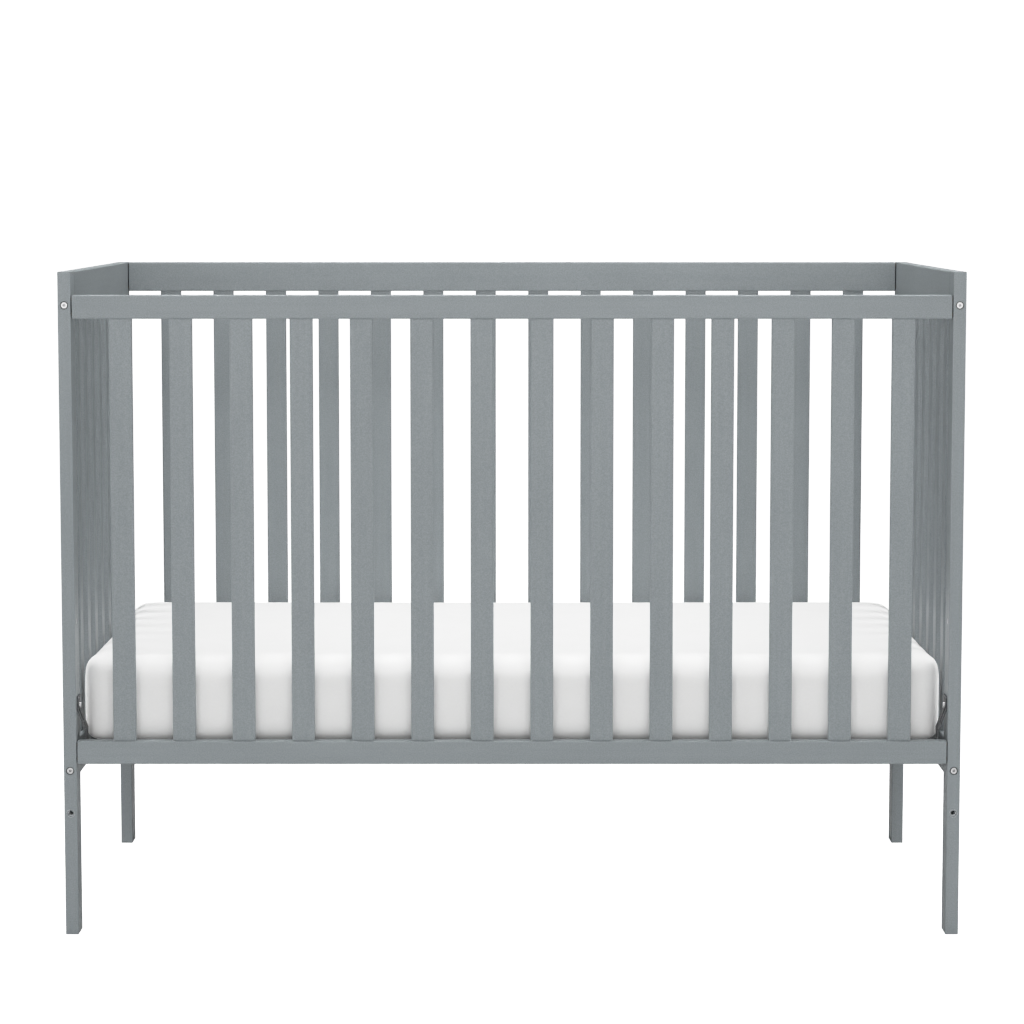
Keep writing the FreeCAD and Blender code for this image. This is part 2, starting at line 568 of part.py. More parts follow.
def make_support():
    save("support_front_angle", mirrored(long_angle(), 1, -1))
    save("support_back_angle", long_angle())
    save("support_left_angle", mirrored(end_angle(), -1, 1))
    save("support_right_angle", end_angle())
    clear_x = SUPPORT_X - ANGLE_THICK
    clear_y = SUPPORT_Y - ANGLE_THICK
    cross_z = SUPPORT_TOP - WIRE_R
    long_z = cross_z - 2 * WIRE_R - WIRE_LAP_GAP
    long_pitch = 2 * clear_y / (LONG_WIRES + 1)
    cross_pitch = 2 * clear_x / (CROSS_WIRES + 1)
    long_wires = []
    for i in range(LONG_WIRES):
        start = (-clear_x, -clear_y + (i + 1) * long_pitch, long_z)
        long_wires.append(rod(start, X_AXIS, 2 * clear_x, WIRE_R))
    save("support_long_wires", long_wires)
    cross_wires = []
    for i in range(CROSS_WIRES):
        start = (-clear_x + (i + 1) * cross_pitch, -clear_y, cross_z)
        cross_wires.append(rod(start, Y_AXIS, 2 * clear_y, WIRE_R))
    save("support_cross_wires", cross_wires)
    corners = [(side_x, side_y) for side_x in (-1, 1) for side_y in (-1, 1)]
    strap = hanger_strap()
    save("support_hangers", [mirrored(strap, *corner) for corner in corners])
    rivets = []
    for z in rivet_heights():
        rivets += [mirrored(rivet(z), *corner) for corner in corners]
    save("hanger_rivets", rivets)


# ---- mattress ----------------------------------------------------------------------------
def make_mattress():
    half_x = INNER_X - MATTRESS_END_GAP
    half_y = INNER_Y - MATTRESS_SIDE_GAP
    low = SUPPORT_TOP + RUN_GAP
    high = low + MATTRESS_THICK
    pad = soft_bar((-half_x, -half_y, low), (half_x, half_y, high), 2, MATTRESS_CORNER_R,
                   MATTRESS_EDGE_R)
    save("mattress", pad)


os.makedirs("parts", exist_ok=True)
make_posts()
make_long_panel("front", -1, FRONT_TOP_Z, FRONT_TOP_TALL)
make_long_panel("back", 1, BACK_TOP_Z, BACK_TOP_TALL)
make_rail_dowels()
make_end_panel("left", -1)
make_end_panel("right", 1)
make_frame_fasteners()
make_inserts()
make_support()
make_mattress()
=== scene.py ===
import math

import bpy
import numpy as np
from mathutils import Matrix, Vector


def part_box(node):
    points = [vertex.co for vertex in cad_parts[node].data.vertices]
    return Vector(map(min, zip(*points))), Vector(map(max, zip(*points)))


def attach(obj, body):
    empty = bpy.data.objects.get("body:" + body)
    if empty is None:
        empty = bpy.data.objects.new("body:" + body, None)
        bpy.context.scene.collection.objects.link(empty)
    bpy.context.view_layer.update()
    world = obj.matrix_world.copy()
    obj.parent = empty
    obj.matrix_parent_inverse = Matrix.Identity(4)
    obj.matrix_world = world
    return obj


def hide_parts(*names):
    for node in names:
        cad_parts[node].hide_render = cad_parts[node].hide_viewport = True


# Looks for a baby crib: grey satin paint on the wooden frame, zinc-plated bolts, dark hanger
# straps, a powder-coated mattress support with its spot welds, and a padded mattress.
# Metres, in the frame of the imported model. +X is along the crib, -Y is its front, +Z up.

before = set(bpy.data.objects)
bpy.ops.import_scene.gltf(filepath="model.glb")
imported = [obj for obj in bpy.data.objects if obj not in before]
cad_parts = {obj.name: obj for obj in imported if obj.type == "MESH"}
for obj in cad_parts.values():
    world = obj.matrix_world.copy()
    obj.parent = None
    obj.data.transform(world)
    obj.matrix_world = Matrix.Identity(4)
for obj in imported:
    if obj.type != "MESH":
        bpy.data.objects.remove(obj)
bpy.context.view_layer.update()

# ---- camera ------------------------------------------------------------------------------
CAMERA_PLACE = (0.0, -5.251, 1.126)
CAMERA_TILT = math.radians(84.444)      # from straight down, so a little below level
CAMERA_LENS = 113.6                     # millimetres, on a 36 mm sensor
SENSOR_WIDE = 36.0

# ---- studio ------------------------------------------------------------------------------
FLOOR_HALF = 14.0
FLOOR_TONE = 0.62                       # what the floor sends back to the crib
FLOOR_GLOW = 1.65                       # how pale it looks, past the tone curve's white
SKY_GLOW = 1.70                         # how pale the air round the crib looks
SKY_LOW = 0.03                          # its light from the horizon
SKY_HIGH = 0.0                          # its light from overhead
WIDE_OPEN = math.radians(180.0)         # spread of a bare softbox
GRIDDED = math.radians(100.0)           # spread of the top panel, which lights downwards
# name: place, width and height, watts, the point that it faces, and its spread
SOFTBOXES = {
    "front_softbox": ((0.0, -2.6, 2.6), (5.0, 1.2), 24.0, (0.0, -0.2, 0.75), WIDE_OPEN),
    "top_softbox": ((0.0, 0.0, 3.2), (4.8, 0.6), 54.0, (0.0, 0.0, 0.0), GRIDDED),
    "back_softbox": ((0.0, 4.4, 2.6), (4.6, 2.2), 22.0, (0.0, 0.0, 0.6), WIDE_OPEN),
    "left_softbox": ((-4.0, -0.9, 0.9), (2.4, 1.4), 76.0, (0.0, 0.0, 0.5), WIDE_OPEN),
    "right_softbox": ((4.0, -0.9, 0.9), (2.4, 1.4), 76.0, (0.0, 0.0, 0.5), WIDE_OPEN),
    "low_softbox": ((0.0, -3.6, 1.25), (4.0, 1.0), 65.0, (0.0, 0.0, 0.6), WIDE_OPEN),
}

# scene light and the light shown for it: straight, then a soft shoulder for the white cover
TONE_CURVE = (
    (0.0, 0.0),
    (0.3, 0.3),
    (0.6, 0.6),
    (0.85, 0.78),
    (1.1, 0.875),
    (1.35, 0.925),
    (1.6, 1.0),
)
ALL_CHANNELS = 3                        # the view curve that red, green and blue share

# ---- mattress ----------------------------------------------------------------------------
COVER_MAP = "cover_map"                 # its UV map, flat and in metres
MATTRESS_START_IN = 0.0010              # the unfilled shape is this much smaller all round
MATTRESS_CORNER_R = 0.038               # upright corners, seen from above
MATTRESS_TOP_R = 0.023                  # edges round the top
MATTRESS_FOOT_R = 0.017                 # edges round the underside
MATTRESS_CELL = 0.010                   # spacing of its grid
MATTRESS_PRESSURE = 6.0
MATTRESS_HOLD = 0.15                    # how strongly the pad's core keeps the cover's shape
MATTRESS_STRETCH = 15.0                 # stiffness of the cover, pulled or pushed
MATTRESS_BEND = 2.0
MATTRESS_STEPS = 5                      # steps worked out in each frame
MATTRESS_FRAMES = 20
END_BULGE = 0.0082                      # most that an end moves out
SIDE_BULGE = 0.0035                     # most that the front or back moves out
TOP_CROWN = 0.0026                      # most that the top rises
REST_BAND = 0.0005                      # points this near the underside rest on the support
MERGE_STEP = 1e-6                       # points this near are one point
TINY = 1e-12                            # keeps a division from failing on a length of 0

# ---- spot welds --------------------------------------------------------------------------
WELD_R = 0.0024
WELD_TALL = 0.0011
WELD_RINGS = 4                          # bands from pole to pole
WELD_SEGMENTS = 8                       # and points round each
ROD_APART = 0.01                        # rods of one node are at least this far apart


# ==== shader tools ========================================================================

def add_node(tree, kind, **settings):
    """One node of a shader tree, with its settings, such as operation="ADD"."""
    made = tree.nodes.new(kind)
    for name, value in settings.items():
        setattr(made, name, value)
    return made


def join(tree, source, target):
    """A link from an output socket to an input socket."""
    tree.links.new(source, target)


def new_group(name, inputs, outputs):
    """A node group. inputs is {name: (socket type, default)}; outputs is {name: socket type}."""
    tree = bpy.data.node_groups.new(name, "ShaderNodeTree")
    for label, (kind, default) in inputs.items():
        socket = tree.interface.new_socket(label, in_out="INPUT", socket_type=kind)
        if default is not None:
            socket.default_value = default
    for label, kind in outputs.items():
        tree.interface.new_socket(label, in_out="OUTPUT", socket_type=kind)
    entry = add_node(tree, "NodeGroupInput")
    result = add_node(tree, "NodeGroupOutput")
    return tree, entry, result


def use_group(tree, group, **values):
    """The group as a node in a tree. values set its inputs; a name's underscores are spaces."""
    placed = add_node(tree, "ShaderNodeGroup", node_tree=group)
    for label, value in values.items():
        placed.inputs[label.replace("_", " ")].default_value = value
    return placed


def math_node(tree, operation, first, second=None, clamp=False):
    """A Math node. first and second are sockets or numbers. Returns its output."""
    made = add_node(tree, "ShaderNodeMath", operation=operation, use_clamp=clamp)
    for place, value in enumerate((first, second)):
        if value is None:
            continue
        if isinstance(value, (int, float)):
            made.inputs[place].default_value = value
        else:
            join(tree, value, made.inputs[place])
    return made.outputs[0]


def noise(tree, vector, scale, detail=2.0, rough=0.5):
    """A Noise Texture's value. scale is a socket or a number, in waves per metre."""
    made = add_node(tree, "ShaderNodeTexNoise")
    join(tree, vector, made.inputs["Vector"])
    if isinstance(scale, (int, float)):
        made.inputs["Scale"].default_value = scale
    else:
        join(tree, scale, made.inputs["Scale"])
    made.inputs["Detail"].default_value = detail
    made.inputs["Roughness"].default_value = rough
    return made.outputs["Fac"]


def remap(tree, value, low, high, to_low=0.0, to_high=1.0):
    """value stretched from low..high to to_low..to_high, and held inside them."""
    made = add_node(tree, "ShaderNodeMapRange")
    join(tree, value, made.inputs["Value"])
    made.inputs["From Min"].default_value = low
    made.inputs["From Max"].default_value = high
    made.inputs["To Min"].default_value = to_low
    made.inputs["To Max"].default_value = to_high
    return made.outputs["Result"]


def mix_colours(tree, factor, first, second):
    """A colour between first and second, which are sockets or (r, g, b), by a mask."""
    made = add_node(tree, "ShaderNodeMix", data_type="RGBA")
    join(tree, factor, made.inputs[0])
    for place, value in ((6, first), (7, second)):
        if isinstance(value, tuple):
            made.inputs[place].default_value = (*value, 1.0)
        else:
            join(tree, value, made.inputs[place])
    return made.outputs[2]


def weighted_sum(tree, *shares):
    """The sum of masks times their shares. shares are (socket, share) pairs."""
    total = None
    for mask, share in shares:
        part = math_node(tree, "MULTIPLY", mask, share)
        total = part if total is None else math_node(tree, "ADD", total, part)
    return total


def bump(tree, height, distance, strength=1.0, under=None):
    """A Bump node's normal. under is a normal that this one adds to."""
    made = add_node(tree, "ShaderNodeBump")
    made.inputs["Strength"].default_value = strength
    made.inputs["Distance"].default_value = distance
    join(tree, height, made.inputs["Height"])
    if under is not None:
        join(tree, under, made.inputs["Normal"])
    return made.outputs["Normal"]


def new_material(name, **constants):
    """A material with its Principled shader; constants are sockets such as Roughness=0.4."""
    made = bpy.data.materials.new(name)
    made.use_nodes = True
    shader = made.node_tree.nodes["Principled BSDF"]
    for label, value in constants.items():
        shader.inputs[label.replace("_", " ")].default_value = value
    return made, made.node_tree, shader


def object_place(tree, turn=(0.0, 0.0, 0.0)):
    """Object coordinates, turned by angles about X, Y and Z."""
    source = add_node(tree, "ShaderNodeTexCoord")
    turned = add_node(tree, "ShaderNodeMapping")
    turned.inputs["Rotation"].default_value = turn
    join(tree, source.outputs["Object"], turned.inputs["Vector"])
    return turned.outputs["Vector"]


# ==== effects that several materials share ================================================

NOISE_BAND = (0.30, 0.70)               # values that a noise seldom leaves
STREAK_BAND = (0.28, 0.72)
PORE_BAND = (0.56, 0.74)                # only the peaks are pores
STREAK_SLIM = 0.035                     # a streak's width over its length, and a pore's
PORE_SLIM = 0.06
SLUB_SCALE = 260.0                      # uneven threads, in waves per metre


def make_sprayed_coat():
    """Sprayed finish: orange peel, fine speckle, and slow clouds of tone."""
    tree, entry, result = new_group(
        "sprayed_coat",
        {
            "Vector": ("NodeSocketVector", None),
            "Peel Scale": ("NodeSocketFloat", 420.0),
            "Speckle Scale": ("NodeSocketFloat", 900.0),
            "Cloud Scale": ("NodeSocketFloat", 5.0),
        },
        {"Peel": "NodeSocketFloat", "Speckle": "NodeSocketFloat", "Cloud": "NodeSocketFloat"},
    )
    place = entry.outputs["Vector"]
    peel = noise(tree, place, entry.outputs["Peel Scale"], detail=1.5, rough=0.45)
    speckle = noise(tree, place, entry.outputs["Speckle Scale"], detail=1.0, rough=0.6)
    cloud = noise(tree, place, entry.outputs["Cloud Scale"], detail=2.0, rough=0.5)
    join(tree, peel, result.inputs["Peel"])
    join(tree, remap(tree, speckle, *NOISE_BAND), result.inputs["Speckle"])
    join(tree, remap(tree, cloud, *NOISE_BAND), result.inputs["Cloud"])
    return tree


def make_timber_grain():
    """Wood figure along the incoming Z: long soft streaks, and short fine pores."""
    tree, entry, result = new_group(
        "timber_grain",
        {
            "Vector": ("NodeSocketVector", None),
            "Streak Scale": ("NodeSocketFloat", 160.0),
            "Pore Scale": ("NodeSocketFloat", 900.0),
        },
        {"Figure": "NodeSocketFloat", "Pores": "NodeSocketFloat"},
    )

    def stretched(slim):
        along = add_node(tree, "ShaderNodeVectorMath", operation="MULTIPLY")
        along.inputs[1].default_value = (1.0, 1.0, slim)
        join(tree, entry.outputs["Vector"], along.inputs[0])
        return along.outputs["Vector"]

    streaks = noise(tree, stretched(STREAK_SLIM), entry.outputs["Streak Scale"], 3.0, 0.55)
    pores = noise(tree, stretched(PORE_SLIM), entry.outputs["Pore Scale"], 1.0, 0.5)
    join(tree, remap(tree, streaks, *STREAK_BAND), result.inputs["Figure"])
    join(tree, remap(tree, pores, *PORE_BAND), result.inputs["Pores"])
    return tree


def make_worn_edge():
    """Mask of the outer edges: how far a rounded-off normal leans from the true one."""
    tree, entry, result = new_group(
        "worn_edge",
        {"Width": ("NodeSocketFloat", 0.0015), "Reach": ("NodeSocketFloat", 0.12)},
        {"Mask": "NodeSocketFloat"},
    )
    soft = add_node(tree, "ShaderNodeBevel", samples=4)
    join(tree, entry.outputs["Width"], soft.inputs["Radius"])
    true_side = add_node(tree, "ShaderNodeNewGeometry")
    lean = add_node(tree, "ShaderNodeVectorMath", operation="DOT_PRODUCT")
    join(tree, soft.outputs["Normal"], lean.inputs[0])
    join(tree, true_side.outputs["Normal"], lean.inputs[1])
    off = math_node(tree, "SUBTRACT", 1.0, lean.outputs["Value"])
    share = math_node(tree, "DIVIDE", off, entry.outputs["Reach"], clamp=True)
    join(tree, share, result.inputs["Mask"])
    return tree


def make_gap_shade_mask():
    """Mask of tight gaps and sockets, where shade falls: how little of the space within Reach is
    open. By it the materials paint shade into their colour, and the insert paint paints light
    into its bores."""
    tree, entry, result = new_group(
        "gap_shade_mask",
        {
            "Reach": ("NodeSocketFloat", 0.004),
            "Open From": ("NodeSocketFloat", 0.48),
            "Shut By": ("NodeSocketFloat", 0.86),
        },
        {"Mask": "NodeSocketFloat"},
    )
    space = add_node(tree, "ShaderNodeAmbientOcclusion", samples=6)
    join(tree, entry.outputs["Reach"], space.inputs["Distance"])
    closed = math_node(tree, "SUBTRACT", 1.0, space.outputs["AO"])
    mask = add_node(tree, "ShaderNodeMapRange")
    join(tree, closed, mask.inputs["Value"])
    join(tree, entry.outputs["Open From"], mask.inputs["From Min"])
    join(tree, entry.outputs["Shut By"], mask.inputs["From Max"])
    join(tree, mask.outputs["Result"], result.inputs["Mask"])
    return tree


def make_plating():
    """Zinc plate: small crystals of slightly different tone, and a fine tooth."""
    tree, entry, result = new_group(
        "plating",
        {
            "Vector": ("NodeSocketVector", None),
            "Crystal Scale": ("NodeSocketFloat", 700.0),
            "Tooth Scale": ("NodeSocketFloat", 2400.0),
        },
        {"Tone": "NodeSocketFloat", "Tooth": "NodeSocketFloat"},
    )
    cells = add_node(tree, "ShaderNodeTexVoronoi")
    join(tree, entry.outputs["Vector"], cells.inputs["Vector"])
    join(tree, entry.outputs["Crystal Scale"], cells.inputs["Scale"])
    tone = add_node(tree, "ShaderNodeSeparateColor")
    join(tree, cells.outputs["Color"], tone.inputs["Color"])
    tooth = noise(tree, entry.outputs["Vector"], entry.outputs["Tooth Scale"], 2.0, 0.5)
    join(tree, tone.outputs["Red"], result.inputs["Tone"])
    join(tree, tooth, result.inputs["Tooth"])
    return tree


def make_plain_weave():
    """Close plain weave on a flat map in metres: threads over and under, uneven in weight."""
    tree, entry, result = new_group(
        "plain_weave",
        {"Map": ("NodeSocketVector", None), "Pitch": ("NodeSocketFloat", 0.0011)},
        {"Height": "NodeSocketFloat", "Slub": "NodeSocketFloat"},
    )
    axes = add_node(tree, "ShaderNodeSeparateXYZ")
    join(tree, entry.outputs["Map"], axes.inputs["Vector"])
    turns = math_node(tree, "DIVIDE", math.pi, entry.outputs["Pitch"])
    across = math_node(tree, "MULTIPLY", axes.outputs["X"], turns)
    along = math_node(tree, "MULTIPLY", axes.outputs["Y"], turns)
    crossed = math_node(
        tree, "MULTIPLY", math_node(tree, "SINE", across), math_node(tree, "SINE", along)
    )
    height = remap(tree, crossed, -1.0, 1.0)
    slub = noise(tree, entry.outputs["Map"], SLUB_SCALE, detail=2.0, rough=0.6)
    join(tree, height, result.inputs["Height"])
    join(tree, remap(tree, slub, *NOISE_BAND), result.inputs["Slub"])
    return tree


# ==== materials ===========================================================================

# colours, deep and pale, between which each finish wanders; edges are rubbed, shade is painted
# into gaps and light into the insert bores
PAINT_DEEP = (0.174, 0.196, 0.206)
PAINT_PALE = (0.253, 0.280, 0.292)
PAINT_EDGE = (0.300, 0.328, 0.340)
# painted shade: the near-black colour given to tight gaps, joints and the ends of bores
PAINT_GAP_SHADE = (0.012, 0.013, 0.014)
INSERT_DEEP = (0.130, 0.148, 0.157)
INSERT_PALE = (0.190, 0.213, 0.224)
# painted light: near white inside the insert bores, where little light reaches
INSERT_BORE_LIGHT = (0.92, 0.95, 0.96)
BEECH_DEEP = (0.50, 0.34, 0.19)
BEECH_PALE = (0.62, 0.46, 0.29)
BEECH_PORE = (0.33, 0.20, 0.10)
ZINC_DEEP = (0.56, 0.56, 0.565)
ZINC_PALE = (0.70, 0.70, 0.705)
# painted shade: the dark colour given to the sockets and recesses of the zinc parts
ZINC_GAP_SHADE = (0.07, 0.07, 0.074)
ZINC_ROUGH = 0.46
HANGER_DEEP = (0.075, 0.079, 0.083)
HANGER_PALE = (0.125, 0.130, 0.135)
HANGER_ROUGH = 0.45
POWDER_DEEP = (0.070, 0.075, 0.080)
POWDER_PALE = (0.112, 0.118, 0.124)
POWDER_EDGE = (0.20, 0.21, 0.22)
COVER_DEEP = (0.795, 0.791, 0.784)
COVER_PALE = (0.855, 0.852, 0.846)
# how far a rubbed edge goes to its edge colour, and a tight gap to its painted shade colour
PAINT_RUBBED = 0.20
INSERT_RUBBED = 0.5
ZINC_RUBBED = 0.6
ZINC_BRIGHTER = 1.15                    # rubbed zinc against plain
POWDER_RUBBED = 0.45
WOOD_SHADED = 0.97
ZINC_SHADED = 0.85
BEECH_PORED = 0.6
# how Object coordinates are turned so that the timber's grain lies along their Z
GRAIN_TURN = {
    "upright": (0.0, 0.0, 0.0),
    "lengthwise": (0.0, math.pi / 2, 0.0),
    "crosswise": (math.pi / 2, 0.0, 0.0),
}


def make_frame_paint(name, turn, coat, grain, edge, shade):
    """Satin grey paint sprayed on hardwood, with the grain just showing through."""
    material, tree, shader = new_material(name, Roughness=0.46)
    place = object_place(tree, turn)
    sprayed = use_group(tree, coat, Peel_Scale=380.0, Speckle_Scale=620.0, Cloud_Scale=4.0)
    timber = use_group(tree, grain, Streak_Scale=150.0, Pore_Scale=800.0)
    rubbed = use_group(tree, edge, Width=0.0016, Reach=0.12)
    gaps = use_group(tree, shade, Reach=0.004)
    join(tree, place, sprayed.inputs["Vector"])
    join(tree, place, timber.inputs["Vector"])
    speckle = (sprayed.outputs["Speckle"], 0.66)
    figure = (timber.outputs["Figure"], 0.16)
    cloud = (sprayed.outputs["Cloud"], 0.18)
    tone = weighted_sum(tree, speckle, figure, cloud)
    painted = mix_colours(tree, tone, PAINT_DEEP, PAINT_PALE)
    worn = math_node(tree, "MULTIPLY", rubbed.outputs["Mask"], PAINT_RUBBED)
    outside = mix_colours(tree, worn, painted, PAINT_EDGE)
    # painted shade: the gap mask darkens tight gaps, joints and the ends of bores nearly to black
    gap_shade_share = math_node(tree, "MULTIPLY", gaps.outputs["Mask"], WOOD_SHADED)
    join(tree, mix_colours(tree, gap_shade_share, outside, PAINT_GAP_SHADE), shader.inputs["Base Color"])
    satin = remap(tree, tone, 0.0, 1.0, to_low=0.52, to_high=0.40)
    join(tree, satin, shader.inputs["Roughness"])
    ripple = bump(tree, sprayed.outputs["Peel"], distance=0.00012, strength=0.6)
    pores = bump(tree, timber.outputs["Pores"], distance=-0.00003, strength=0.5, under=ripple)
    join(tree, pores, shader.inputs["Normal"])
    return material


def make_insert_paint(coat, edge, shade):
    """Thin grey paint on the face of the steel inserts, and painted light inside their bores:
    near white where they are shut in, standing in for light that hardly reaches there.
    """
    material, tree, shader = new_material("insert_paint", Roughness=0.55)
    sprayed = use_group(tree, coat, Peel_Scale=700.0, Speckle_Scale=900.0, Cloud_Scale=60.0)
    rubbed = use_group(tree, edge, Width=0.0006, Reach=0.15)
    bore_shade = use_group(tree, shade, Reach=0.005, Open_From=0.20, Shut_By=0.45)
    join(tree, object_place(tree), sprayed.inputs["Vector"])
    painted = mix_colours(tree, sprayed.outputs["Speckle"], INSERT_DEEP, INSERT_PALE)
    worn = math_node(tree, "MULTIPLY", rubbed.outputs["Mask"], INSERT_RUBBED)
    outside = mix_colours(tree, worn, painted, PAINT_DEEP)
    # painted light: where the bore is shut in, the colour goes near white in place of the light
    # that does not reach it
    metal = mix_colours(tree, bore_shade.outputs["Mask"], outside, INSERT_BORE_LIGHT)
    join(tree, metal, shader.inputs["Base Color"])
    satin = remap(tree, sprayed.outputs["Cloud"], 0.0, 1.0, to_low=0.48, to_high=0.62)
    join(tree, satin, shader.inputs["Roughness"])
    peel = bump(tree, sprayed.outputs["Peel"], distance=0.00008, strength=0.6)
    join(tree, peel, shader.inputs["Normal"])
    return material


def make_beech(grain, shade):
    """Bare beech dowels: pale brown, with pores and a soft figure."""
    material, tree, shader = new_material("dowel_beech", Roughness=0.62)
    timber = use_group(tree, grain, Streak_Scale=420.0, Pore_Scale=1800.0)
    gaps = use_group(tree, shade, Reach=0.004)
    join(tree, object_place(tree, GRAIN_TURN["lengthwise"]), timber.inputs["Vector"])
    wood = mix_colours(tree, timber.outputs["Figure"], BEECH_DEEP, BEECH_PALE)
    pores = math_node(tree, "MULTIPLY", timber.outputs["Pores"], BEECH_PORED)
    pored = mix_colours(tree, pores, wood, BEECH_PORE)
    # painted shade: the dowels go dark where they sit in the tight gaps
    gap_shade_share = math_node(tree, "MULTIPLY", gaps.outputs["Mask"], WOOD_SHADED)
    join(tree, mix_colours(tree, gap_shade_share, pored, PAINT_GAP_SHADE), shader.inputs["Base Color"])
    dull = remap(tree, timber.outputs["Figure"], 0.0, 1.0, to_low=0.56, to_high=0.68)
    join(tree, dull, shader.inputs["Roughness"])
    pitted = bump(tree, timber.outputs["Pores"], distance=-0.00008, strength=0.6)
    join(tree, pitted, shader.inputs["Normal"])
    return material


def make_zinc(name, dark, pale, rough, plate, edge, shade):
    """Zinc plate between two tones, brighter on rubbed edges, with painted shade darkening its
    sockets.
    """
    material, tree, shader = new_material(name, Metallic=1.0, Roughness=rough)
    plated = use_group(tree, plate, Crystal_Scale=900.0, Tooth_Scale=2600.0)
    rubbed = use_group(tree, edge, Width=0.0005, Reach=0.18)
    gaps = use_group(tree, shade, Reach=0.003, Open_From=0.18, Shut_By=0.60)
    join(tree, object_place(tree), plated.inputs["Vector"])
    metal = mix_colours(tree, plated.outputs["Tone"], dark, pale)
    bright = tuple(min(1.0, ZINC_BRIGHTER * part) for part in pale)
    worn = math_node(tree, "MULTIPLY", rubbed.outputs["Mask"], ZINC_RUBBED)
    outside = mix_colours(tree, worn, metal, bright)
    # painted shade: the gap mask darkens sockets and the rings round the bolt heads
    gap_shade_share = math_node(tree, "MULTIPLY", gaps.outputs["Mask"], ZINC_SHADED)
    join(tree, mix_colours(tree, gap_shade_share, outside, ZINC_GAP_SHADE), shader.inputs["Base Color"])
    dull = remap(tree, plated.outputs["Tone"], 0.0, 1.0, rough - 0.05, rough + 0.07)
    join(tree, dull, shader.inputs["Roughness"])
    tooth = bump(tree, plated.outputs["Tooth"], distance=0.00002, strength=0.5)
    join(tree, tooth, shader.inputs["Normal"])
    return material


def make_powder_coat(coat, edge):
    """Dark grey powder coat on the mattress support, with a pebbled skin."""
    material, tree, shader = new_material("support_powder_coat", Roughness=0.5)
    sprayed = use_group(tree, coat, Peel_Scale=900.0, Speckle_Scale=1500.0, Cloud_Scale=9.0)
    rubbed = use_group(tree, edge, Width=0.0007, Reach=0.18)
    join(tree, object_place(tree), sprayed.inputs["Vector"])
    speckle = (sprayed.outputs["Speckle"], 0.7)
    cloud = (sprayed.outputs["Cloud"], 0.3)
    coated = mix_colours(tree, weighted_sum(tree, speckle, cloud), POWDER_DEEP, POWDER_PALE)
    worn = math_node(tree, "MULTIPLY", rubbed.outputs["Mask"], POWDER_RUBBED)
    join(tree, mix_colours(tree, worn, coated, POWDER_EDGE), shader.inputs["Base Color"])
    satin = remap(tree, sprayed.outputs["Cloud"], 0.0, 1.0, to_low=0.44, to_high=0.58)
    join(tree, satin, shader.inputs["Roughness"])
    pebbles = bump(tree, sprayed.outputs["Peel"], distance=0.00018, strength=0.7)
    join(tree, pebbles, shader.inputs["Normal"])
    return material


def make_mattress_cover(weave, coat):
    """White close-woven cotton: plain weave, soft clouds of tone, and a sheen at the rim."""
    material, tree, shader = new_material(
        "mattress_cover", Roughness=0.85, Sheen_Weight=0.5, Sheen_Roughness=0.35
    )
    flat_map = add_node(tree, "ShaderNodeUVMap", uv_map=COVER_MAP)
    woven = use_group(tree, weave, Pitch=0.0012)
    tones = use_group(tree, coat, Peel_Scale=150.0, Speckle_Scale=420.0, Cloud_Scale=22.0)
    join(tree, flat_map.outputs["UV"], woven.inputs["Map"])
    join(tree, object_place(tree), tones.inputs["Vector"])
    threads = (woven.outputs["Height"], 0.30)
    slubs = (woven.outputs["Slub"], 0.35)
    clouds = (tones.outputs["Cloud"], 0.35)
    tone = weighted_sum(tree, threads, slubs, clouds)
    white = mix_colours(tree, tone, COVER_DEEP, COVER_PALE)
    join(tree, white, shader.inputs["Base Color"])
    matt = remap(tree, woven.outputs["Slub"], 0.0, 1.0, to_low=0.78, to_high=0.92)
    join(tree, matt, shader.inputs["Roughness"])
    threads_up = bump(tree, woven.outputs["Height"], distance=0.00010, strength=0.5)
    soft = bump(tree, tones.outputs["Peel"], distance=0.00015, strength=0.4, under=threads_up)
    join(tree, soft, shader.inputs["Normal"])
    return material


# ==== mattress ============================================================================

def box_grid(half, cell):
    """Points, quads and flat maps of a closed box made of six even grids.

    half holds the three half sizes. Each face is a grid of about one cell's spacing whose
    corners are numbered so that it faces outwards. Points that two or three faces share are
    merged, but each face keeps its own flat map: its two in-plane coordinates, in metres.
    """
    lines = [np.linspace(-size, size, round(2 * size / cell) + 1) for size in half]
    points, quads, maps = [], [], []
    count = 0
    for axis in range(3):
        u_axis, v_axis = [other for other in range(3) if other != axis]
        u, v = np.meshgrid(lines[u_axis], lines[v_axis], indexing="ij")
        index = np.arange(u.size).reshape(u.shape)
        ring = np.stack([index[:-1, :-1], index[1:, :-1], index[1:, 1:], index[:-1, 1:]], axis=-1)
        ring = ring.reshape(-1, 4)
        for side in (-1, 1):
            place = np.empty((u.size, 3))
            place[:, axis] = side * half[axis]
            place[:, u_axis] = u.ravel()
            place[:, v_axis] = v.ravel()
            turned = side * (-1 if axis == 1 else 1) < 0
            quads.append(count + (ring[:, ::-1] if turned else ring))
            points.append(place)
            maps.append(np.stack([u.ravel(), v.ravel()], axis=-1))
            count += u.size
    quads = np.concatenate(quads)
    maps = np.concatenate(maps)[quads]
    keys = np.round(np.concatenate(points) / MERGE_STEP).astype(np.int64)
    keys, merged = np.unique(keys, axis=0, return_inverse=True)
    return keys * MERGE_STEP, merged.reshape(-1)[quads], maps


def round_edges(points, half, radius):
    """Box points moved so that every edge and corner is rounded by radius.

    A point is split into the nearest point of the box that is smaller by radius, and the
    step from there. The step keeps its longest component as its new length, so that a flat
    face stays flat and an edge becomes a quarter circle.
    """
    core = np.clip(points, radius - half, half - radius)
    step = points - core
    longest = np.abs(step).max(axis=1, keepdims=True)
    length = np.maximum(np.linalg.norm(step, axis=1, keepdims=True), TINY)
    return core + step * longest / length


